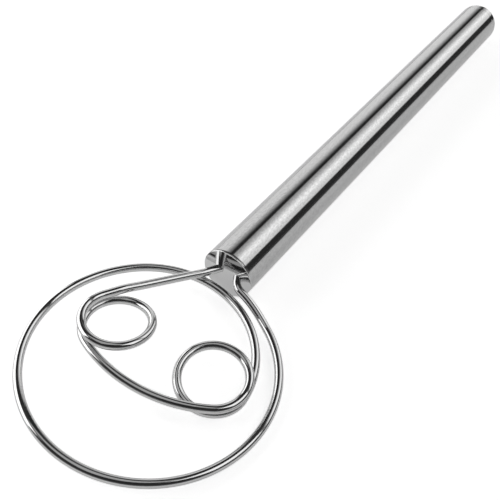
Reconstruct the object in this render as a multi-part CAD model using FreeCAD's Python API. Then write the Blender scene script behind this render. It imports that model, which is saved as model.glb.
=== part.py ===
import FreeCAD, Part
import math
import os

V = FreeCAD.Vector

# A dough whisk: one bent steel wire for the head, held in a hollow steel handle.
# Construction frame: the handle's axis is X, the joint of tube and front cap is at x = 0,
# the head lies towards +X and the layers of its loops are stacked along Z. Millimetres.

# Wire, and its two legs where they enter the handle
wire_d = 3.0
wire_gap = 0.62
leg_inside_y = 2.6
leg_bend_depth = 2.5
leg_bend_radius = 6.0
right_leg_angle = 30.0
left_leg_high_run = 5.0
left_leg_level_run = 4.2

# Outer ring, the neck that leads into it, and the second lap inside it
ring_radius = 41.6
ring_standoff = 3.2
ring_y = 1.7
neck_bend_radius = 6.0
neck_drop_run = 22.0
lap_inset = 6.0

# Two small loops, each placed by a bearing and a gap from the ring, and the arc between them.
# The right loop opens out a little from one bearing on.
right_loop_radius = 11.33
right_loop_bearing = 107.27
right_loop_inset = 9.69
right_loop_opening = 0.38
right_opening_bearing = 222.4
left_loop_radius = 11.4
left_loop_bearing = -96.57
left_loop_inset = 14.12
link_radius = 50.8

# Heights along the two loops, in layers of one wire and its gap above the handle's axis
right_start_layer = -1.12
right_half_layer = -0.68
right_open_layer = 0.32
link_start_layer = 0.04
link_end_layer = 0.06
left_early_layer = 0.21
left_late_layer = 1.47
left_end_layer = 1.20

# Handle tube
tube_d = 20.0
tube_wall = 0.8
tube_length = 237.0

# End caps
front_lip = 0.2
front_edge_radius = 0.15
front_dish = 0.6
front_plate = 1.6
rear_lip = 4.0
rear_edge_radius = 1.5
rear_crown = 0.5
rear_plate = 1.6
skirt_length = 6.0
skirt_wall = 0.8

# Anchor plug inside the tube, and the welds on the wire's ends
plug_setback = 18.0
plug_length = 12.0
weld_radius = 2.3
weld_height = 1.2

# Clearances
seat_clearance = 0.05
hole_clearance = 0.1

# Worked out from the sizes above
wire_r = wire_d / 2
pitch = wire_d + wire_gap
tube_r = tube_d / 2
bore_r = tube_r - tube_wall
spigot_r = bore_r - seat_clearance
plug_back = -plug_setback - plug_length
quarter = math.pi / 2
turn = 2 * math.pi


def heading(angle):
    """Unit vector in the plan at an angle from +X."""
    return V(math.cos(angle), math.sin(angle), 0)


def bearing(center, point):
    """Plan angle at which a point is seen from a centre."""
    return math.atan2(point.y - center.y, point.x - center.x)


def meeting_points(center_a, radius_a, center_b, radius_b):
    """Both points at radius_a from center_a and radius_b from center_b."""
    across = center_b - center_a
    along = (radius_a ** 2 - radius_b ** 2 + across.Length ** 2) / (2 * across.Length)
    aside = math.sqrt(radius_a ** 2 - along ** 2)
    unit = across / across.Length
    foot = center_a + unit * along
    return foot + V(-unit.y, unit.x, 0) * aside, foot - V(-unit.y, unit.x, 0) * aside


def rearmost(points):
    return min(points, key=lambda point: point.x)


def lifted(point, direction, height, slope):
    """Station of the route: a point raised to a height, and the tangent there."""
    tangent = direction + V(0, 0, slope)
    return point + V(0, 0, height), tangent / tangent.Length


def eased(level, slope, end_level, end_slope, run, share):
    """Height and slope at a share of a run whose level and slope are given at both ends."""
    rise = end_level - level
    bend = (slope + end_slope) * run - 2 * rise
    sag = 3 * rise - (2 * slope + end_slope) * run
    height = level + slope * run * share + sag * share ** 2 + bend * share ** 3
    return height, slope + (2 * sag * share + 3 * bend * share ** 2) / run


def clockwise(center, radius, start, sweep, level, slope, end_level, end_slope):
    """Stations on a clockwise turn with an eased climb, a quarter turn apart at most."""
    steps = math.ceil(sweep / quarter - 0.001)
    stations = []
    for step in range(steps + 1):
        share = step / steps
        angle = start - sweep * share
        point = center + heading(angle) * radius
        climb = eased(level, slope, end_level, end_slope, radius * sweep, share)
        stations.append(lifted(point, heading(angle - quarter), *climb))
    return stations


def leg(side, angle):
    """Stations of a leg from its end at the plug's back to where it leaves its bend.
    side is +1 or -1 across the axis, and angle is how far the leg leans away from it."""
    corner = V(-leg_bend_depth, side * leg_inside_y, 0)
    reach = leg_bend_radius * math.tan(angle / 2)
    ahead = V(1, 0, 0)
    lean = heading(side * angle)
    end = V(plug_back, side * leg_inside_y, 0)
    return [(end, ahead), (corner - ahead * reach, ahead), (corner + lean * reach, lean)]


def arc_edge(start, tangent, end):
    """Edge from start to end that leaves along a tangent: an arc, or a line if they line up."""
    chord = end - start
    unit = chord / chord.Length
    aside = tangent - unit * tangent.dot(unit)
    if aside.Length < 1e-6:
        return Part.LineSegment(start, end).toShape()
    bend = math.atan2(aside.Length, tangent.dot(unit))
    bulge = aside * (chord.Length / 2 * math.tan(bend / 2) / aside.Length)
    return Part.Arc(start, start + chord / 2 + bulge, end).toShape()


def biarc_edges(start, start_tangent, end, end_tangent):
    """Two arcs between two stations, which share a tangent where they meet."""
    across = end - start
    spread = 2 * (1 - start_tangent.dot(end_tangent))
    lean = across.dot(start_tangent + end_tangent)
    reach = across.dot(across) / (2 * lean)
    if spread > 1e-9:
        reach = (math.sqrt(lean ** 2 + spread * across.dot(across)) - lean) / spread
    first = start + start_tangent * reach
    second = end - end_tangent * reach
    middle = (first + second) / 2
    middle_tangent = (second - first) / (second - first).Length
    return [arc_edge(start, start_tangent, middle), arc_edge(middle, middle_tangent, end)]


# Plan of the head. Every arc is tangent to its neighbours, so their centres and the angles
# at which they meet follow from the radii. The route runs clockwise from the right leg.
ring_center = V(ring_standoff + ring_radius, ring_y, 0)
lap_radius = ring_radius - lap_inset
right_away = ring_radius - right_loop_inset - right_loop_radius
left_away = ring_radius - left_loop_inset - left_loop_radius
right_center = ring_center + heading(math.radians(right_loop_bearing)) * right_away
left_center = ring_center + heading(math.radians(left_loop_bearing)) * left_away

right_angle = math.radians(right_leg_angle)
right_corner = V(-leg_bend_depth, leg_inside_y, 0)
neck_side = heading(right_angle + quarter) * neck_bend_radius
neck_away = right_corner + neck_side - ring_center
neck_half = -neck_away.dot(heading(right_angle))
neck_miss = neck_away.dot(neck_away) - (ring_radius + neck_bend_radius) ** 2
neck_run = neck_half - math.sqrt(neck_half ** 2 - neck_miss)
neck_start = right_corner + heading(right_angle) * neck_run
ring_in = bearing(ring_center, neck_start + neck_side)
neck_arc = neck_bend_radius * (ring_in - quarter - right_angle)
ring_flat = ring_in - (neck_drop_run - neck_arc) / ring_radius

lap_center = rearmost(meeting_points(
    ring_center, lap_inset, right_center, lap_radius - right_loop_radius
))
lap_in = bearing(ring_center, lap_center)
right_in = bearing(lap_center, right_center)

open_in = math.radians(right_opening_bearing)
open_radius = right_loop_radius + right_loop_opening
open_center = right_center - heading(open_in) * right_loop_opening
link_center = rearmost(meeting_points(
    open_center, link_radius - open_radius, left_center, link_radius - left_loop_radius
))
link_in = bearing(link_center, open_center)
left_in = bearing(link_center, left_center)

left_corner = V(-leg_bend_depth, -leg_inside_y, 0)
left_view = math.acos(left_loop_radius / (left_corner - left_center).Length)
left_out = bearing(left_center, left_corner) + left_view
left_angle = math.pi - (left_out - quarter) % turn

# Sweeps of the turns. The ring and most of the second lap are the lowest layer, each small
# loop climbs over itself, and the left leg comes down to the axis before it reaches the cap.
ring_level = -pitch
ring_sweep = (ring_flat - lap_in) % turn
lap_half = (lap_in - right_in) % turn / 2
right_half = (right_in - open_in) % turn / 2
open_sweep = (open_in - link_in) % turn
link_sweep = (link_in - left_in) % turn
left_sweep = (left_in - left_out) % turn + turn
left_early = 0.3 * left_sweep
left_late = 0.6 * left_sweep

# Each turn after the ring: centre, radius, bearing at its start, sweep, layer at its end
turns = [
    (lap_center, lap_radius, lap_in, lap_half, -1),
    (lap_center, lap_radius, lap_in - lap_half, lap_half, right_start_layer),
    (right_center, right_loop_radius, right_in, right_half, right_half_layer),
    (right_center, right_loop_radius, right_in - right_half, right_half, right_open_layer),
    (open_center, open_radius, open_in, open_sweep, link_start_layer),
    (link_center, link_radius, link_in, link_sweep, link_end_layer),
    (left_center, left_loop_radius, left_in, left_early, left_early_layer),
    (left_center, left_loop_radius, left_in - left_early, left_late - left_early, left_late_layer),
    (left_center, left_loop_radius, left_in - left_late, left_sweep - left_late, left_end_layer),
]
levels = [ring_level] + [layer * pitch for center, radius, start, sweep, layer in turns]
climbs = [
    (levels[i + 1] - levels[i]) / (turns[i][1] * turns[i][3]) for i in range(len(turns))
]
slopes = [0] + [(a + b) / 2 for a, b in zip(climbs, climbs[1:])] + [climbs[-1] / 2]

# Right leg and neck: the drop from the axis to the lowest layer is eased at both ends
right_leg = leg(1, right_angle)
drop_share = neck_arc / neck_drop_run
drop_height, drop_slope = eased(0, 0, ring_level, 0, neck_drop_run, drop_share)
ring_join = ring_center + heading(ring_in) * ring_radius
stations = right_leg + [(neck_start, heading(right_angle))]
stations.append(lifted(ring_join, heading(ring_in - quarter), drop_height, drop_slope))

# Ring, second lap, right loop, link and left loop
stations += clockwise(
    ring_center, ring_radius, ring_flat, ring_sweep, ring_level, 0, ring_level, 0
)
for i, (center, radius, start, sweep, layer) in enumerate(turns):
    stations += clockwise(
        center, radius, start, sweep, levels[i], slopes[i], levels[i + 1], slopes[i + 1]
    )[1:]

# Left leg: it stays high until it is clear of the loop it leaves, then falls evenly and
# levels off ahead of the cap
left_leg = leg(-1, left_angle)
left_home = heading(left_out - quarter)
left_start = left_center + heading(left_out) * left_loop_radius
high_level = levels[-1] + slopes[-1] * left_leg_high_run / 2
high_point = left_start + left_home * left_leg_high_run
fall_run = (front_lip - high_point.x) / left_home.x - left_leg_level_run
stations.append(lifted(high_point, left_home, high_level, 0))
for share in (0.25, 0.75):
    point = high_point + left_home * (fall_run * share)
    stations.append(lifted(point, left_home, high_level * (1 - share), -high_level / fall_run))
stations.append(lifted(high_point + left_home * fall_run, left_home, 0, 0))
stations += [(point, tangent * -1) for point, tangent in reversed(left_leg)]

edges = []
for (start, start_tangent), (end, end_tangent) in zip(stations, stations[1:]):
    edges += biarc_edges(start, start_tangent, end, end_tangent)
route = Part.Wire(edges)
section = Part.Circle(stations[0][0], stations[0][1], wire_r).toShape()
whisk_wire = route.makePipeShell([Part.Wire([section])], True, False)

# Free distance of the wire to itself, on points along it that are well apart on the wire
points = route.discretize(Distance=0.8)
apart = int(6 * wire_d / 0.8)
nearest = min(
    points[i].distanceToPoint(points[j])
    for i in range(len(points))
    for j in range(i + apart, len(points))
)
bends = [edge.Curve.Radius for edge in edges if isinstance(edge.Curve, Part.Circle)]
print("wire length %.1f mm, tightest bend %.2f mm" % (route.Length, min(bends)))
print("wire volume against section x length %.4f" % (
    whisk_wire.Volume / (math.pi * wire_r ** 2 * route.Length)
))
print("least gap of the wire to itself %.3f mm" % (nearest - wire_d))


def revolved(outline):
    """Solid turned about the handle's axis from a closed outline of edges."""
    face = Part.Face(Part.Wire(outline))
    return face.revolve(V(0, 0, 0), V(1, 0, 0), 360)


def polyline(*corners):
    """Line edges through corners given as (x, r)."""
    spots = [V(x, r, 0) for x, r in corners]
    return [Part.LineSegment(a, b).toShape() for a, b in zip(spots, spots[1:])]


def cap(lip, edge_radius, crown, plate):
    """Pressed cap with its joint at x = 0: a face with a rounded edge ahead of the joint,
    crowned or dished in, and a skirt behind it that fits in the tube."""
    rim = tube_r - edge_radius
    slant = edge_radius * math.sqrt(0.5)
    inside = spigot_r - skirt_wall
    face_arc = Part.Arc(
        V(lip + crown, 0, 0), V(lip + crown * 0.75, rim / 2, 0), V(lip, rim, 0)
    ).toShape()
    edge_arc = Part.Arc(
        V(lip, rim, 0),
        V(lip - edge_radius + slant, rim + slant, 0),
        V(lip - edge_radius, tube_r, 0),
    ).toShape()
    rest_of_it = polyline(
        (lip - edge_radius, tube_r), (0, tube_r), (0, spigot_r), (-skirt_length, spigot_r),
        (-skirt_length, inside), (lip - plate, inside), (lip - plate, 0), (lip + crown, 0),
    )
    return revolved([face_arc, edge_arc] + rest_of_it)


# Handle tube: drawn thin-wall tube, open at both ends until the caps go in
ahead = V(1, 0, 0)
tube_end = V(-tube_length, 0, 0)
handle_tube = Part.makeCylinder(tube_r, tube_length, tube_end, ahead)
handle_tube = handle_tube.cut(Part.makeCylinder(bore_r, tube_length, tube_end, ahead))

# Front cap: polished and a little dished, with a slanted hole for each leg of the wire
front_cap = cap(front_lip, front_edge_radius, -front_dish, front_plate)
hole_reach = front_plate + 2 * wire_d
for leg_end, lean in (right_leg[-1], left_leg[-1]):
    hole = Part.makeCylinder(
        wire_r + hole_clearance, 2 * hole_reach, leg_end - lean * hole_reach, lean
    )
    front_cap = front_cap.cut(hole)

# Rear cap: the same pressing with a deeper, crowned end and no holes
rear_cap = cap(rear_lip, rear_edge_radius, rear_crown, rear_plate)
rear_cap.rotate(V(0, 0, 0), V(0, 0, 1), 180)
rear_cap.translate(tube_end)

# Anchor plug: a slug of bar that fits the tube, drilled for the two legs
anchor_plug = Part.makeCylinder(spigot_r, plug_length, V(plug_back, 0, 0), ahead)
for side in (1, -1):
    bore_end = V(plug_back, side * leg_inside_y, 0)
    bore = Part.makeCylinder(wire_r + seat_clearance, plug_length, bore_end, ahead)
    anchor_plug = anchor_plug.cut(bore)

# Welds: a bead on each end of the wire, against the back of the plug
bead_radius = (weld_radius ** 2 + weld_height ** 2) / (2 * weld_height)
bead_center = plug_back - weld_height + bead_radius
half_angle = math.asin(weld_radius / bead_radius) / 2
bead_arc = Part.Arc(
    V(plug_back, weld_radius, 0),
    V(bead_center - bead_radius * math.cos(half_angle), bead_radius * math.sin(half_angle), 0),
    V(plug_back - weld_height, 0, 0),
).toShape()
beads = []
for side in (1, -1):
    bead = revolved([bead_arc] + polyline(
        (plug_back - weld_height, 0), (plug_back, 0), (plug_back, weld_radius)
    ))
    bead.translate(V(0, side * leg_inside_y, 0))
    beads.append(bead)
wire_welds = Part.makeCompound(beads)

# Rest pose: the handle lies on the table and the head has rolled over until the side of the
# ring touches it too. The origin is under the middle of the whole whisk.
ring_reach = ring_y + ring_radius
rest_roll = math.asin((tube_r - wire_r) / math.hypot(ring_reach, pitch))
rest_roll -= math.atan2(pitch, ring_reach)
nose_x = ring_center.x + ring_radius + wire_r
tail_x = -tube_length - rear_lip - rear_crown
middle_y = ring_y * math.cos(rest_roll) + ring_level * math.sin(rest_roll)
rest = FreeCAD.Placement(
    V(-(nose_x + tail_x) / 2, -middle_y, tube_r),
    FreeCAD.Rotation(ahead, -math.degrees(rest_roll)),
)
print("rest pose: roll %.3f deg, shift %.3f %.3f %.3f mm" % (
    math.degrees(rest_roll), rest.Base.x, rest.Base.y, rest.Base.z
))

pieces = {
    "whisk_wire": whisk_wire,
    "handle_tube": handle_tube,
    "front_cap": front_cap,
    "rear_cap": rear_cap,
    "anchor_plug": anchor_plug,
    "wire_welds": wire_welds,
}
os.makedirs("parts", exist_ok=True)
for name, shape in pieces.items():
    shape.Placement = rest.multiply(shape.Placement)
    shape.exportStep("parts/%s.step" % name)
    box = shape.optimalBoundingBox(False)
    print("%s: valid %s, solids %d, x %.2f %.2f, y %.2f %.2f, z %.2f %.2f" % (
        name, shape.isValid(), len(shape.Solids),
        box.XMin, box.XMax, box.YMin, box.YMax, box.ZMin, box.ZMax,
    ))
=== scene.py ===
import math

import bpy
import numpy as np
from mathutils import Matrix, Vector


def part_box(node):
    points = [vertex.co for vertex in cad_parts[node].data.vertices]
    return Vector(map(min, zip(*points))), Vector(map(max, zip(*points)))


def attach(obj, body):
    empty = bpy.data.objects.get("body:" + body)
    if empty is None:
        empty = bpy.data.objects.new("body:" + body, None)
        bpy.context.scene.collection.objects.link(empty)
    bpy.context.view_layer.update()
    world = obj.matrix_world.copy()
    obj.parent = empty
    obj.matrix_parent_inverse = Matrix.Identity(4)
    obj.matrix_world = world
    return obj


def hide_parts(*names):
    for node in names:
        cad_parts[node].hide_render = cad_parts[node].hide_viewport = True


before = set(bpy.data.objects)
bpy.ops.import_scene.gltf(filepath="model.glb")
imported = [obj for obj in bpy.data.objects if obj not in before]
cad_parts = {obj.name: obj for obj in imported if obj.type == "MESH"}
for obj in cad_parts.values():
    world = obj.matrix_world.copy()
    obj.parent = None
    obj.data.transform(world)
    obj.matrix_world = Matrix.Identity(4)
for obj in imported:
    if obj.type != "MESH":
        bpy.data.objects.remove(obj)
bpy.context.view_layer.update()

# Whisk wire: one length of 3 mm stainless spring wire, cold bent without a weld into the
# right leg, the outer ring, a second lap, two small loops and the left leg.
# It is drawn, bent on pegs and then polished, so it mirrors the room in thin bright lines.
MM = 0.001
wire_r = 1.5
layer = 3.62
quarter = math.pi / 2
turn = 2 * math.pi

leg_y, leg_depth, leg_bend, leg_end = 2.6, 2.5, 6.0, -30.0
cap_face = 0.2
ring_radius, ring_gap, ring_aside = 41.6, 3.2, 1.7
ring_center = np.array([ring_gap + ring_radius, ring_aside])
neck_bend, neck_drop = 6.0, 22.0
lap_inset, link_radius = 6.0, 50.8
right_loop, right_bearing, right_inset = 11.33, math.radians(107.27), 9.69
open_extra, open_in = 0.38, math.radians(222.4)
left_loop, left_bearing, left_inset = 11.4, math.radians(-96.57), 14.12
right_lean = math.radians(30.0)
leg_high, leg_flat = 5.0, 4.2
tube_r = 10.0
route_step = 0.6


def heading(angle):
    return np.array([math.cos(angle), math.sin(angle)])


def bearing(center, point):
    return math.atan2(point[1] - center[1], point[0] - center[0])


def rear_meeting(center_a, radius_a, center_b, radius_b):
    """Of the two points at radius_a from center_a and radius_b from center_b, the rear one."""
    across = center_b - center_a
    gap = np.hypot(*across)
    along = (radius_a ** 2 - radius_b ** 2 + gap ** 2) / (2 * gap)
    aside = math.sqrt(radius_a ** 2 - along ** 2) * np.array([-across[1], across[0]]) / gap
    foot = center_a + across / gap * along
    return min(foot + aside, foot - aside, key=lambda point: point[0])


def bend(center, radius, start, sweep):
    """Plan points on an arc. A positive sweep runs clockwise, as the wire was wound."""
    steps = max(3, round(abs(radius * sweep) / route_step))
    angles = start - np.linspace(0, sweep, steps + 1)
    return center + radius * np.column_stack([np.cos(angles), np.sin(angles)])


def straight(start, end):
    steps = max(2, round(np.hypot(*(end - start)) / route_step))
    return start + (end - start) * np.linspace(0, 1, steps + 1)[:, None]


right_at = ring_center + heading(right_bearing) * (ring_radius - right_inset - right_loop)
left_at = ring_center + heading(left_bearing) * (ring_radius - left_inset - left_loop)
leg_reach = leg_bend * math.tan(right_lean / 2)
right_corner = np.array([-leg_depth, leg_y])
right_bend = right_corner - [leg_reach, 0]
neck_side = heading(right_lean + quarter) * neck_bend
neck_away = right_corner + neck_side - ring_center
neck_half = -neck_away @ heading(right_lean)
neck_miss = neck_away @ neck_away - (ring_radius + neck_bend) ** 2
neck_start = right_corner + heading(right_lean) * (
    neck_half - math.sqrt(neck_half ** 2 - neck_miss))
ring_in = bearing(ring_center, neck_start + neck_side)
neck_sweep = ring_in - quarter - right_lean
ring_drop = (neck_drop - neck_bend * neck_sweep) / ring_radius
lap_radius = ring_radius - lap_inset
lap_at = rear_meeting(ring_center, lap_inset, right_at, lap_radius - right_loop)
lap_in = bearing(ring_center, lap_at)
right_in = bearing(lap_at, right_at)
open_at, open_loop = right_at - heading(open_in) * open_extra, right_loop + open_extra
link_at = rear_meeting(open_at, link_radius - open_loop, left_at, link_radius - left_loop)
link_in = bearing(link_at, open_at)
left_in = bearing(link_at, left_at)
left_corner = np.array([-leg_depth, -leg_y])
left_out = bearing(left_at, left_corner) + math.acos(
    left_loop / np.hypot(*(left_corner - left_at)))
left_lean = math.pi - (left_out - quarter) % turn
left_home = heading(left_out - quarter)
left_reach = leg_bend * math.tan(left_lean / 2)
left_start = left_at + heading(left_out) * left_loop
left_bend = left_corner - left_home * left_reach
left_high = left_start + left_home * leg_high
left_level = left_start + left_home * ((cap_face - left_start[0]) / left_home[0] - leg_flat)
lap_half = (lap_in - right_in) % turn / 2
right_half = (right_in - open_in) % turn / 2
left_sweep = (left_in - left_out) % turn + turn

neck_share = neck_bend * neck_sweep / neck_drop
neck_layer = neck_share ** 2 * (2 * neck_share - 3)
neck_slope = layer * 6 * neck_share * (neck_share - 1) / neck_drop

# The left leg comes down to the cap evenly, eased over the first and last quarter of its fall
fall_start = left_high + (left_level - left_high) / 4
fall_end = left_high + (left_level - left_high) * 3 / 4

# Heights where the runs meet, in layers of one wire and its gap above the handle's axis
ring_layer = -1
lap_layer, right_mid_layer, right_top_layer = -1.12, -0.68, 0.32
link_start_layer, link_end_layer = 0.04, 0.06
left_low_layer, left_mid_layer, left_top_layer, high_layer = 0.21, 1.47, 1.2, 1.19
left_early = left_sweep * 0.3
left_late = left_sweep * 0.6

# Each run of the wire in the order it was bent: its plan, the layer it ends on counted from
# the handle's axis, and the slope there, which is eased between its neighbours if not given
runs = [
    (straight(np.array([leg_end, leg_y]), right_bend), 0, 0),
    (bend(right_bend + [0, leg_bend], leg_bend, -quarter, -right_lean), 0, 0),
    (straight(right_corner + heading(right_lean) * leg_reach, neck_start), 0, 0),
    (bend(neck_start + neck_side, neck_bend, right_lean - quarter, -neck_sweep),
     neck_layer, neck_slope),
    (bend(ring_center, ring_radius, ring_in, ring_drop), ring_layer, 0),
    (bend(ring_center, ring_radius, ring_in - ring_drop, (ring_in - ring_drop - lap_in) % turn),
     ring_layer, 0),
    (bend(lap_at, lap_radius, lap_in, lap_half), ring_layer, None),
    (bend(lap_at, lap_radius, lap_in - lap_half, lap_half), lap_layer, None),
    (bend(right_at, right_loop, right_in, right_half), right_mid_layer, None),
    (bend(right_at, right_loop, right_in - right_half, right_half), right_top_layer, None),
    (bend(open_at, open_loop, open_in, (open_in - link_in) % turn), link_start_layer, None),
    (bend(link_at, link_radius, link_in, (link_in - left_in) % turn), link_end_layer, None),
    (bend(left_at, left_loop, left_in, left_early), left_low_layer, None),
    (bend(left_at, left_loop, left_in - left_early, left_late - left_early), left_mid_layer, None),
    (bend(left_at, left_loop, left_in - left_late, left_sweep - left_late), left_top_layer, None),
    (straight(left_start, left_high), high_layer, 0),
    (straight(left_high, fall_start), high_layer * 0.75, None),
    (straight(fall_start, fall_end), high_layer * 0.25, None),
    (straight(fall_end, left_level), 0, 0),
    (straight(left_level, left_bend), 0, 0),
    (bend(left_bend + heading(left_out) * leg_bend, leg_bend, left_out - math.pi, -left_lean),
     0, 0),
    (straight(left_corner - [left_reach, 0], np.array([leg_end, -leg_y])), 0, 0),
]
lengths = [np.hypot(*np.diff(plan, axis=0).T).sum() for plan, end, slope in runs]
levels = [0] + [end * layer for plan, end, slope in runs]
climbs = np.diff(levels) / lengths
slopes = [0]
for i, (plan, end, slope) in enumerate(runs):
    slopes.append((climbs[i] + climbs[i + 1]) / 2 if slope is None else slope)
route = []
for i, (plan, end, slope) in enumerate(runs):
    share = np.linspace(0, 1, len(plan))
    rise = climbs[i] * lengths[i]
    leave, arrive = slopes[i] * lengths[i], slopes[i + 1] * lengths[i]
    height = levels[i] + leave * share + (3 * rise - 2 * leave - arrive) * share ** 2
    height += (leave + arrive - 2 * rise) * share ** 3
    route += list(np.column_stack([plan, height])[1 if route else 0:])

# The whisk lies on its handle and on one side of the ring, so everything is rolled over
ring_reach = ring_center[1] + ring_radius
rest_roll = math.asin((tube_r - wire_r) / math.hypot(ring_reach, layer))
rest_roll -= math.atan2(layer, ring_reach)
handle_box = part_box("handle_tube")
axis_point = (handle_box[0] + handle_box[1]) / 2
joint_x = handle_box[1].x
rest = Matrix.Translation((joint_x, axis_point.y, tube_r * MM)) @ Matrix.Rotation(
    -rest_roll, 4, "X") @ Matrix.Scale(MM, 4)


def node(tree, kind, settings=None, **links):
    """Adds a node with its settings, and sets or links its inputs by name."""
    made = tree.nodes.new(kind)
    for name, value in (settings or {}).items():
        setattr(made, name, value)
    for name, value in links.items():
        socket = next(s for s in made.inputs
                      if s.enabled and s.name.replace(" ", "_").lower() == name.lower())
        if isinstance(value, bpy.types.NodeSocket):
            tree.links.new(value, socket)
        else:
            socket.default_value = value
    return made


def linear(hex_colour):
    """sRGB hex to linear RGBA."""
    parts = [int(hex_colour[i:i + 2], 16) / 255 for i in (1, 3, 5)]
    return [c / 12.92 if c <= 0.04045 else ((c + 0.055) / 1.055) ** 2.4 for c in parts] + [1.0]


def start_material(name):
    """New material with a Principled shader wired to its output."""
    made = bpy.data.materials.new(name)
    made.use_nodes = True
    return made, made.node_tree, made.node_tree.nodes["Principled BSDF"]


# Polished stainless spring wire: near mirror, with faint smears where the buff was lifted
wire_steel, tree, shader = start_material("polished_stainless_wire")
shader.inputs["Base Color"].default_value = linear("#D2D2D2")
shader.inputs["Metallic"].default_value = 1.0
place = node(tree, "ShaderNodeTexCoord").outputs["Object"]
smear_size = 6 * MM
smear = node(tree, "ShaderNodeTexNoise", vector=place, scale=1 / smear_size, detail=3.0)
gloss = node(tree, "ShaderNodeMapRange", value=smear.outputs["Fac"], from_min=0.3, from_max=0.7,
             to_min=0.08, to_max=0.13)
tree.links.new(gloss.outputs["Result"], shader.inputs["Roughness"])

wire_tree = bpy.data.node_groups.new("bent_wire", "GeometryNodeTree")
for label, kind in (("Route", "Geometry"), ("Wire radius", "Float"), ("Sides", "Int"),
                    ("Finish", "Material")):
    wire_tree.interface.new_socket(label, in_out="INPUT", socket_type="NodeSocket" + kind)
wire_tree.interface.new_socket("Wire", in_out="OUTPUT", socket_type="NodeSocketGeometry")
given = node(wire_tree, "NodeGroupInput").outputs
path = node(wire_tree, "GeometryNodeMeshToCurve", mesh=given["Route"])
section = node(wire_tree, "GeometryNodeCurvePrimitiveCircle", {"mode": "RADIUS"},
               resolution=given["Sides"], radius=given["Wire radius"])
swept = node(wire_tree, "GeometryNodeCurveToMesh", curve=path.outputs["Curve"],
             profile_curve=section.outputs["Curve"], fill_caps=True)
real = node(wire_tree, "GeometryNodeRealizeInstances", geometry=swept.outputs["Mesh"])
dressed = node(wire_tree, "GeometryNodeSetMaterial", geometry=real.outputs["Geometry"],
               material=given["Finish"])
node(wire_tree, "NodeGroupOutput", wire=dressed.outputs["Geometry"])

path_mesh = bpy.data.meshes.new("wire_route")
path_mesh.from_pydata([rest @ Vector(p) for p in route],
                      [(i, i + 1) for i in range(len(route) - 1)], [])
path_object = bpy.data.objects.new("wire_route", path_mesh)
bpy.context.scene.collection.objects.link(path_object)
bending = path_object.modifiers.new("bent_wire", "NODES")
bending.node_group = wire_tree
wire_sides = 32
sizes = {"Wire radius": wire_r * MM, "Sides": wire_sides, "Finish": wire_steel}
for item in wire_tree.interface.items_tree:
    if item.name in sizes:
        bending[item.identifier] = sizes[item.name]


def finished(source, name, sharp_angle):
    """Plain smooth mesh object from what an object's modifiers make. The source is removed."""
    evaluated = source.evaluated_get(bpy.context.evaluated_depsgraph_get())
    mesh = bpy.data.meshes.new_from_object(evaluated)
    bpy.data.objects.remove(source)
    mesh.shade_smooth()
    mesh.set_sharp_from_angle(angle=sharp_angle)
    made = bpy.data.objects.new(name, mesh)
    bpy.context.scene.collection.objects.link(made)
    return made


crease = math.radians(50)
wire = finished(path_object, "whisk_wire_bent", crease)
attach(wire, "root")
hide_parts("whisk_wire")

# Handle tube: drawn stainless tube with a 0.8 mm wall, ground with a fine belt along its
# length to a satin that blurs reflections into long soft bands. The caps close its ends.
tube_wall, tube_length, tube_lip = 0.8, 237.0, 0.12
round_sides, lip_steps = 192, 4


def lathe(name, profile, sides):
    """Closed solid turned about the handle's axis from an outline of (x, r) in millimetres.
    An outline that starts and ends on the axis gets poles, any other one closes on itself."""
    verts, faces, rings = [], [], []
    for x, r in profile:
        if r < 1e-6:
            rings.append([len(verts)])
            verts.append(rest @ Vector((x, 0, 0)))
            continue
        rings.append(list(range(len(verts), len(verts) + sides)))
        for k in range(sides):
            a = turn * k / sides
            verts.append(rest @ Vector((x, r * math.cos(a), r * math.sin(a))))
    pairs = list(zip(rings, rings[1:]))
    if len(rings[0]) > 1:
        pairs.append((rings[-1], rings[0]))
    for a, b in pairs:
        for k in range(sides):
            j = (k + 1) % sides
            corners = [a[k % len(a)], b[k % len(b)], b[j % len(b)], a[j % len(a)]]
            faces.append(list(dict.fromkeys(corners)))
    mesh = bpy.data.meshes.new(name)
    mesh.from_pydata(verts, [], faces)
    mesh.update()
    made = bpy.data.objects.new(name, mesh)
    bpy.context.scene.collection.objects.link(made)
    return made


def round_edge(center, radius, start, end, steps):
    """Outline points on an arc about center = (x, r), between two angles from +X."""
    angles = np.linspace(start, end, steps + 1)
    return [(center[0] + radius * math.cos(a), center[1] + radius * math.sin(a)) for a in angles]


# Satin stainless: a metal grey that sparkles with fine grit. The speckle is drawn about ten
# times as coarse as the real grit, so that it shows
satin_steel, tree, shader = start_material("satin_stainless_tube")
shader.inputs["Metallic"].default_value = 1.0
place = node(tree, "ShaderNodeTexCoord").outputs["Object"]
speckle_size, speckle_stretch = 0.6 * MM, 2
speckle_place = node(tree, "ShaderNodeMapping", vector=place,
                     scale=(1 / speckle_stretch, 1.0, 1.0))
speckle = node(tree, "ShaderNodeTexNoise", vector=speckle_place.outputs["Vector"],
               scale=1 / speckle_size, detail=2.0)
# Places of the two colours and of their mixture among a Mix node's sockets
first_colour, second_colour, mixed_colour = 6, 7, 2
tint = node(tree, "ShaderNodeMix", {"data_type": "RGBA"}, factor=speckle.outputs["Fac"])
tint.inputs[first_colour].default_value = linear("#B0B0B0")
tint.inputs[second_colour].default_value = linear("#DCDCDC")
tree.links.new(tint.outputs[mixed_colour], shader.inputs["Base Color"])
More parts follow.
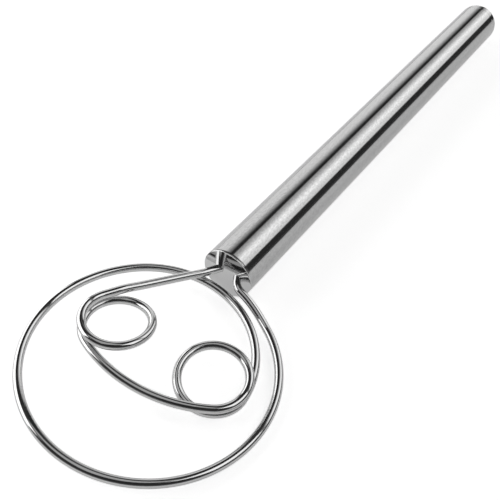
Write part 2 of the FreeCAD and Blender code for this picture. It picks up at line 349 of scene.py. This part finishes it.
# Belt marks: long fine scratches that spread the gloss a little and unevenly
mark_width, mark_stretch, mark_depth = 0.5 * MM, 40, 0.02 * MM
stretched = node(tree, "ShaderNodeMapping", vector=place, scale=(1 / mark_stretch, 1.0, 1.0))
grain = node(tree, "ShaderNodeTexNoise", vector=stretched.outputs["Vector"],
             scale=1 / mark_width, detail=4.0, roughness=0.6)
gloss = node(tree, "ShaderNodeMapRange", value=grain.outputs["Fac"], from_min=0.3, from_max=0.7,
             to_min=0.08, to_max=0.12)
tree.links.new(gloss.outputs["Result"], shader.inputs["Roughness"])
scratch = node(tree, "ShaderNodeBump", height=grain.outputs["Fac"], strength=0.05,
               distance=mark_depth)
tree.links.new(scratch.outputs["Normal"], shader.inputs["Normal"])

# Two rings near the ends keep the long wall's shading from leaning with the rounded edges
bore_r = tube_r - tube_wall
end_ring = 1.0
lip_r = tube_r - tube_lip
tube_outline = (
    [(0, bore_r)]
    + round_edge((-tube_lip, lip_r), tube_lip, 0, quarter, lip_steps)
    + [(-end_ring, tube_r), (end_ring - tube_length, tube_r)]
    + round_edge((tube_lip - tube_length, lip_r), tube_lip, quarter, math.pi, lip_steps)
    + [(-tube_length, bore_r)]
)
tube = finished(lathe("handle_tube_blank", tube_outline, round_sides), "handle_tube_satin", crease)
tube.data.materials.append(satin_steel)
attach(tube, "root")
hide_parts("handle_tube")

# Anchor plug and welds: a turned slug inside the tube that holds both legs, and the bead on
# each wire end behind it. They are closed in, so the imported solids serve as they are.

# Turned bar: a plain grey steel with the fine rings that the lathe left
turned_steel, tree, shader = start_material("turned_bar_steel")
shader.inputs["Base Color"].default_value = linear("#9E9E9E")
shader.inputs["Metallic"].default_value = 1.0
place = node(tree, "ShaderNodeTexCoord").outputs["Object"]
lathe_feed = 1.2 * MM
rings = node(tree, "ShaderNodeTexWave", {"bands_direction": "X"}, vector=place,
             scale=1 / lathe_feed, distortion=0.4)
tree.links.new(node(tree, "ShaderNodeMapRange", value=rings.outputs["Fac"], to_min=0.25,
                    to_max=0.4).outputs["Result"], shader.inputs["Roughness"])
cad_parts["anchor_plug"].material_slots[0].material = turned_steel

# Raw weld bead: left as it cooled, duller and patchy with scale
weld_steel, tree, shader = start_material("raw_weld_bead")
shader.inputs["Metallic"].default_value = 1.0
place = node(tree, "ShaderNodeTexCoord").outputs["Object"]
patch_size = 0.8 * MM
scale_noise = node(tree, "ShaderNodeTexNoise", vector=place, scale=1 / patch_size, detail=4.0)
tint = node(tree, "ShaderNodeMix", {"data_type": "RGBA"}, factor=scale_noise.outputs["Fac"])
tint.inputs[first_colour].default_value = linear("#6E6E6E")
tint.inputs[second_colour].default_value = linear("#A0A0A0")
tree.links.new(tint.outputs[mixed_colour], shader.inputs["Base Color"])
tree.links.new(node(tree, "ShaderNodeMapRange", value=scale_noise.outputs["Fac"], to_min=0.35,
                    to_max=0.6).outputs["Result"], shader.inputs["Roughness"])
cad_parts["wire_welds"].material_slots[0].material = weld_steel

# Front cap: pressed stainless disc with a skirt in the tube, two slanted holes for the legs
# and a face buffed to a mirror, so it shows the legs and the floor again upside down.
front_edge, front_dish, front_plate = 0.15, 0.6, 1.6
seat_clearance, hole_clearance = 0.05, 0.1
skirt_r, skirt_wall, skirt_length = bore_r - seat_clearance, 0.8, 6.0
face_steps, edge_steps, cap_crease = 25, 8, math.radians(35)


def cap_outline(lip, edge, crown, plate):
    """Outline of a pressed cap from the middle of its face round to the middle of its back."""
    rim = tube_r - edge
    dome = (rim ** 2 + crown ** 2) / (2 * crown)
    spread = math.asin(rim / dome)
    face = [(lip + crown - dome + dome * math.cos(a), dome * math.sin(a))
            for a in np.linspace(0, spread, face_steps)]
    face[0] = (lip + crown, 0)
    return face + round_edge((lip - edge, rim), edge, 0, quarter, edge_steps)[1:] + [
        (0, tube_r), (0, skirt_r), (-skirt_length, skirt_r),
        (-skirt_length, skirt_r - skirt_wall), (lip - plate, skirt_r - skirt_wall),
        (lip - plate, 0),
    ]


# Buffed stainless: a clear mirror with a slight haze in patches
mirror_steel, tree, shader = start_material("buffed_stainless_cap")
shader.inputs["Base Color"].default_value = linear("#DEDEDE")
shader.inputs["Metallic"].default_value = 1.0
place = node(tree, "ShaderNodeTexCoord").outputs["Object"]
haze_size = 4 * MM
haze = node(tree, "ShaderNodeTexNoise", vector=place, scale=1 / haze_size, detail=3.0)
tree.links.new(node(tree, "ShaderNodeMapRange", value=haze.outputs["Fac"], from_min=0.3,
                    from_max=0.7, to_min=0.02, to_max=0.05).outputs["Result"],
               shader.inputs["Roughness"])

front_outline = cap_outline(cap_face, front_edge, -front_dish, front_plate)
cap = lathe("front_cap_blank", front_outline, round_sides)
# Each leg hole is cut along its leg, from a little behind the bend to well in front of the face
drills = []
drill_sides, drill_back = 64, 4.0
hole_r = wire_r + hole_clearance
for corner, lean in ((right_corner, right_lean), (left_corner, -left_lean)):
    axis = Vector((*heading(lean), 0))
    start = Vector((*corner, 0)) + axis * (leg_bend * math.tan(abs(lean) / 2)) - axis * drill_back
    up = Vector((0, 0, 1))
    side = axis.cross(up)
    verts = []
    for end in (start, start + axis * 3 * drill_back):
        for k in range(drill_sides):
            a = turn * k / drill_sides
            verts.append(rest @ (end + side * (hole_r * math.cos(a)) + up * (hole_r * math.sin(a))))
    faces = []
    for k in range(drill_sides):
        j = (k + 1) % drill_sides
        faces.append([k, j, drill_sides + j, drill_sides + k])
    faces += [list(range(drill_sides - 1, -1, -1)), list(range(drill_sides, 2 * drill_sides))]
    mesh = bpy.data.meshes.new("leg_drill")
    mesh.from_pydata(verts, [], faces)
    drill = bpy.data.objects.new("leg_drill", mesh)
    bpy.context.scene.collection.objects.link(drill)
    cut = cap.modifiers.new("leg_hole", "BOOLEAN")
    cut.operation, cut.solver, cut.object = "DIFFERENCE", "EXACT", drill
    drills.append(drill)
cap = finished(cap, "front_cap_mirror", cap_crease)
for drill in drills:
    bpy.data.objects.remove(drill)
cap.data.materials.clear()
cap.data.materials.append(mirror_steel)
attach(cap, "root")
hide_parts("front_cap")

# Rear cap: the same pressing, deeper and crowned, welded on and ground over with the tube, so
# the satin runs across the joint.
rear_lip, rear_edge, rear_crown, rear_plate = 4.0, 1.5, 0.5, 1.6
rear_outline = [(-tube_length - x, r)
                for x, r in cap_outline(rear_lip, rear_edge, rear_crown, rear_plate)]
rear = finished(lathe("rear_cap_blank", rear_outline[::-1], round_sides), "rear_cap_satin", crease)
rear.data.materials.append(satin_steel)
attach(rear, "root")
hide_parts("rear_cap")

# Floor: a plain white table that keeps the whisk's soft shadow. A glow for the camera makes it
# white, fully so further out. The steel sees less of that glow, so its underside stays grey.
floor_half = 6.0
near_glow, far_glow, mirrored_glow = 0.7, 1.0, 0.3
near_end, far_start = 0.2, 0.45
floor_mesh = bpy.data.meshes.new("floor")
corners = [(-floor_half, -floor_half, 0), (floor_half, -floor_half, 0),
           (floor_half, floor_half, 0), (-floor_half, floor_half, 0)]
floor_mesh.from_pydata(corners, [], [(0, 1, 2, 3)])
floor = bpy.data.objects.new("floor", floor_mesh)
bpy.context.scene.collection.objects.link(floor)
white_table, tree, shader = start_material("white_table")
tree.nodes.remove(shader)
rays = node(tree, "ShaderNodeLightPath").outputs
mirrored = node(tree, "ShaderNodeMath", {"operation": "MAXIMUM"})
tree.links.new(rays["Is Glossy Ray"], mirrored.inputs[0])
tree.links.new(rays["Is Transmission Ray"], mirrored.inputs[1])
lift = node(tree, "ShaderNodeMath", {"operation": "MULTIPLY"})
tree.links.new(mirrored.outputs[0], lift.inputs[0])
lift.inputs[1].default_value = mirrored_glow
place = node(tree, "ShaderNodeTexCoord").outputs["Object"]
away = node(tree, "ShaderNodeVectorMath", {"operation": "LENGTH"})
tree.links.new(place, away.inputs[0])
far_lift = node(tree, "ShaderNodeMapRange", value=away.outputs["Value"], from_min=near_end,
                from_max=far_start, to_min=near_glow, to_max=far_glow)
lift_seen = node(tree, "ShaderNodeMath", {"operation": "MULTIPLY_ADD"})
tree.links.new(rays["Is Camera Ray"], lift_seen.inputs[0])
tree.links.new(far_lift.outputs["Result"], lift_seen.inputs[1])
tree.links.new(lift.outputs[0], lift_seen.inputs[2])
glow = node(tree, "ShaderNodeEmission", color=(1, 1, 1, 1))
tree.links.new(lift_seen.outputs[0], glow.inputs["Strength"])
matt = node(tree, "ShaderNodeBsdfDiffuse", color=linear("#E6E6E6"))
both = node(tree, "ShaderNodeAddShader")
tree.links.new(glow.outputs[0], both.inputs[0])
tree.links.new(matt.outputs[0], both.inputs[1])
tree.links.new(both.outputs[0], tree.nodes["Material Output"].inputs["Surface"])
floor.data.materials.append(white_table)

# Studio: a dark room with long soft lights that run along the handle behind it, and three
# softboxes round the head, to its left, behind its right side and overhead. The camera sees
# plain white all round.
studio = bpy.data.worlds.new("studio")
bpy.context.scene.world = studio
studio.use_nodes = True
tree = studio.node_tree
ray_way = node(tree, "ShaderNodeTexCoord").outputs["Generated"]
level_way = node(tree, "ShaderNodeVectorMath", {"operation": "MULTIPLY"})
tree.links.new(ray_way, level_way.inputs[0])
level_way.inputs[1].default_value = (0, 1, 1)
unit_way = node(tree, "ShaderNodeVectorMath", {"operation": "NORMALIZE"})
tree.links.new(level_way.outputs["Vector"], unit_way.inputs[0])
across = node(tree, "ShaderNodeSeparateXYZ", vector=unit_way.outputs["Vector"])
spread = node(tree, "ShaderNodeMapRange", value=across.outputs["Y"], from_min=-1.0, from_max=1.0)
lights = node(tree, "ShaderNodeValToRGB", fac=spread.outputs["Result"])
# Angle from straight up towards the right, and the brightness there
bands = [(-60, 0.97), (-47, 0.88), (-36, 0.50), (-25, 0.13), (-20, 0.02), (-10, 0.02), (-8, 0.38),
         (6, 0.72), (15, 1.05), (24, 1.44), (33, 1.34), (44, 1.04), (57, 0.96), (60, 0.03),
         (82, 0.03), (88, 0.08)]
stops = lights.color_ramp.elements
stops.remove(stops[1])
for angle, level in bands:
    stops.new((math.sin(math.radians(angle)) + 1) / 2).color = (level, level, level, 1)
stops.remove(stops[0])
way = node(tree, "ShaderNodeSeparateXYZ", vector=ray_way).outputs
# The lights fill the room only towards the handle's rear. The rest is dim, and darker higher up
lights_start, lights_full = -0.52, -0.59
behind = node(tree, "ShaderNodeMapRange", {"interpolation_type": "SMOOTHSTEP"}, value=way["X"],
              from_min=lights_start, from_max=lights_full)
low_level, high_level, dark_from = 0.2, 0.03, 0.45
dusk = node(tree, "ShaderNodeMapRange", {"interpolation_type": "SMOOTHSTEP"}, value=way["Z"],
            from_min=0.0, from_max=dark_from, to_min=low_level, to_max=high_level)
room = node(tree, "ShaderNodeMix", {"data_type": "RGBA"}, factor=behind.outputs["Result"])
tree.links.new(dusk.outputs["Result"], room.inputs[first_colour])
tree.links.new(lights.outputs["Color"], room.inputs[second_colour])
plain = node(tree, "ShaderNodeMix", {"data_type": "RGBA"},
             factor=node(tree, "ShaderNodeLightPath").outputs["Is Camera Ray"])
tree.links.new(room.outputs[mixed_colour], plain.inputs[first_colour])
plain.inputs[second_colour].default_value = (1, 1, 1, 1)
tree.links.new(plain.outputs[mixed_colour], tree.nodes["Background"].inputs["Color"])


def softbox(name, azimuth, elevation, distance, width, height, radiance):
    """Rectangular lamp that faces the middle of the whisk. Degrees and metres."""
    lamp_data = bpy.data.lights.new(name, "AREA")
    lamp_data.shape = "RECTANGLE"
    lamp_data.size, lamp_data.size_y = width, height
    lamp_data.energy = radiance * math.pi * width * height
    lamp = bpy.data.objects.new(name, lamp_data)
    a, e = math.radians(azimuth), math.radians(elevation)
    way = Vector((math.cos(a) * math.cos(e), math.sin(a) * math.cos(e), math.sin(e)))
    lamp.location = way * distance
    lamp.rotation_euler = way.to_track_quat("Z", "Y").to_euler()
    lamp.visible_camera = False
    bpy.context.scene.collection.objects.link(lamp)


softbox("side_softbox", azimuth=-73, elevation=20, distance=0.5, width=0.72, height=0.42,
        radiance=1.8)
softbox("rear_softbox", azimuth=101, elevation=53, distance=1.2, width=0.75, height=0.8,
        radiance=1.3)
softbox("top_softbox", azimuth=-30, elevation=76, distance=1.2, width=0.75, height=0.9,
        radiance=0.45)

# Camera: at the photograph's place and angle, with its lens. The focal length is in pixels of
# the 500 x 500 picture.
film_width, focal_px, picture_px = 36.0, 777, 500
camera_data = bpy.data.cameras.new("camera")
camera_data.sensor_width = film_width
camera_data.lens = film_width * focal_px / picture_px
camera = bpy.data.objects.new("camera", camera_data)
bpy.context.scene.collection.objects.link(camera)
look = Vector((-0.6235, -0.3863, -0.6797)).normalized()
right = Vector((-0.552, 0.8333, 0.0329))
right = (right - look * right.dot(look)).normalized()
up = right.cross(look)
camera_at = (0.2401, 0.10884, 0.20438)
camera.matrix_world = Matrix.Translation(camera_at) @ Matrix(
    (right, up, -look)).transposed().to_4x4()
bpy.context.scene.camera = camera
bpy.context.scene.view_settings.view_transform = "Standard"
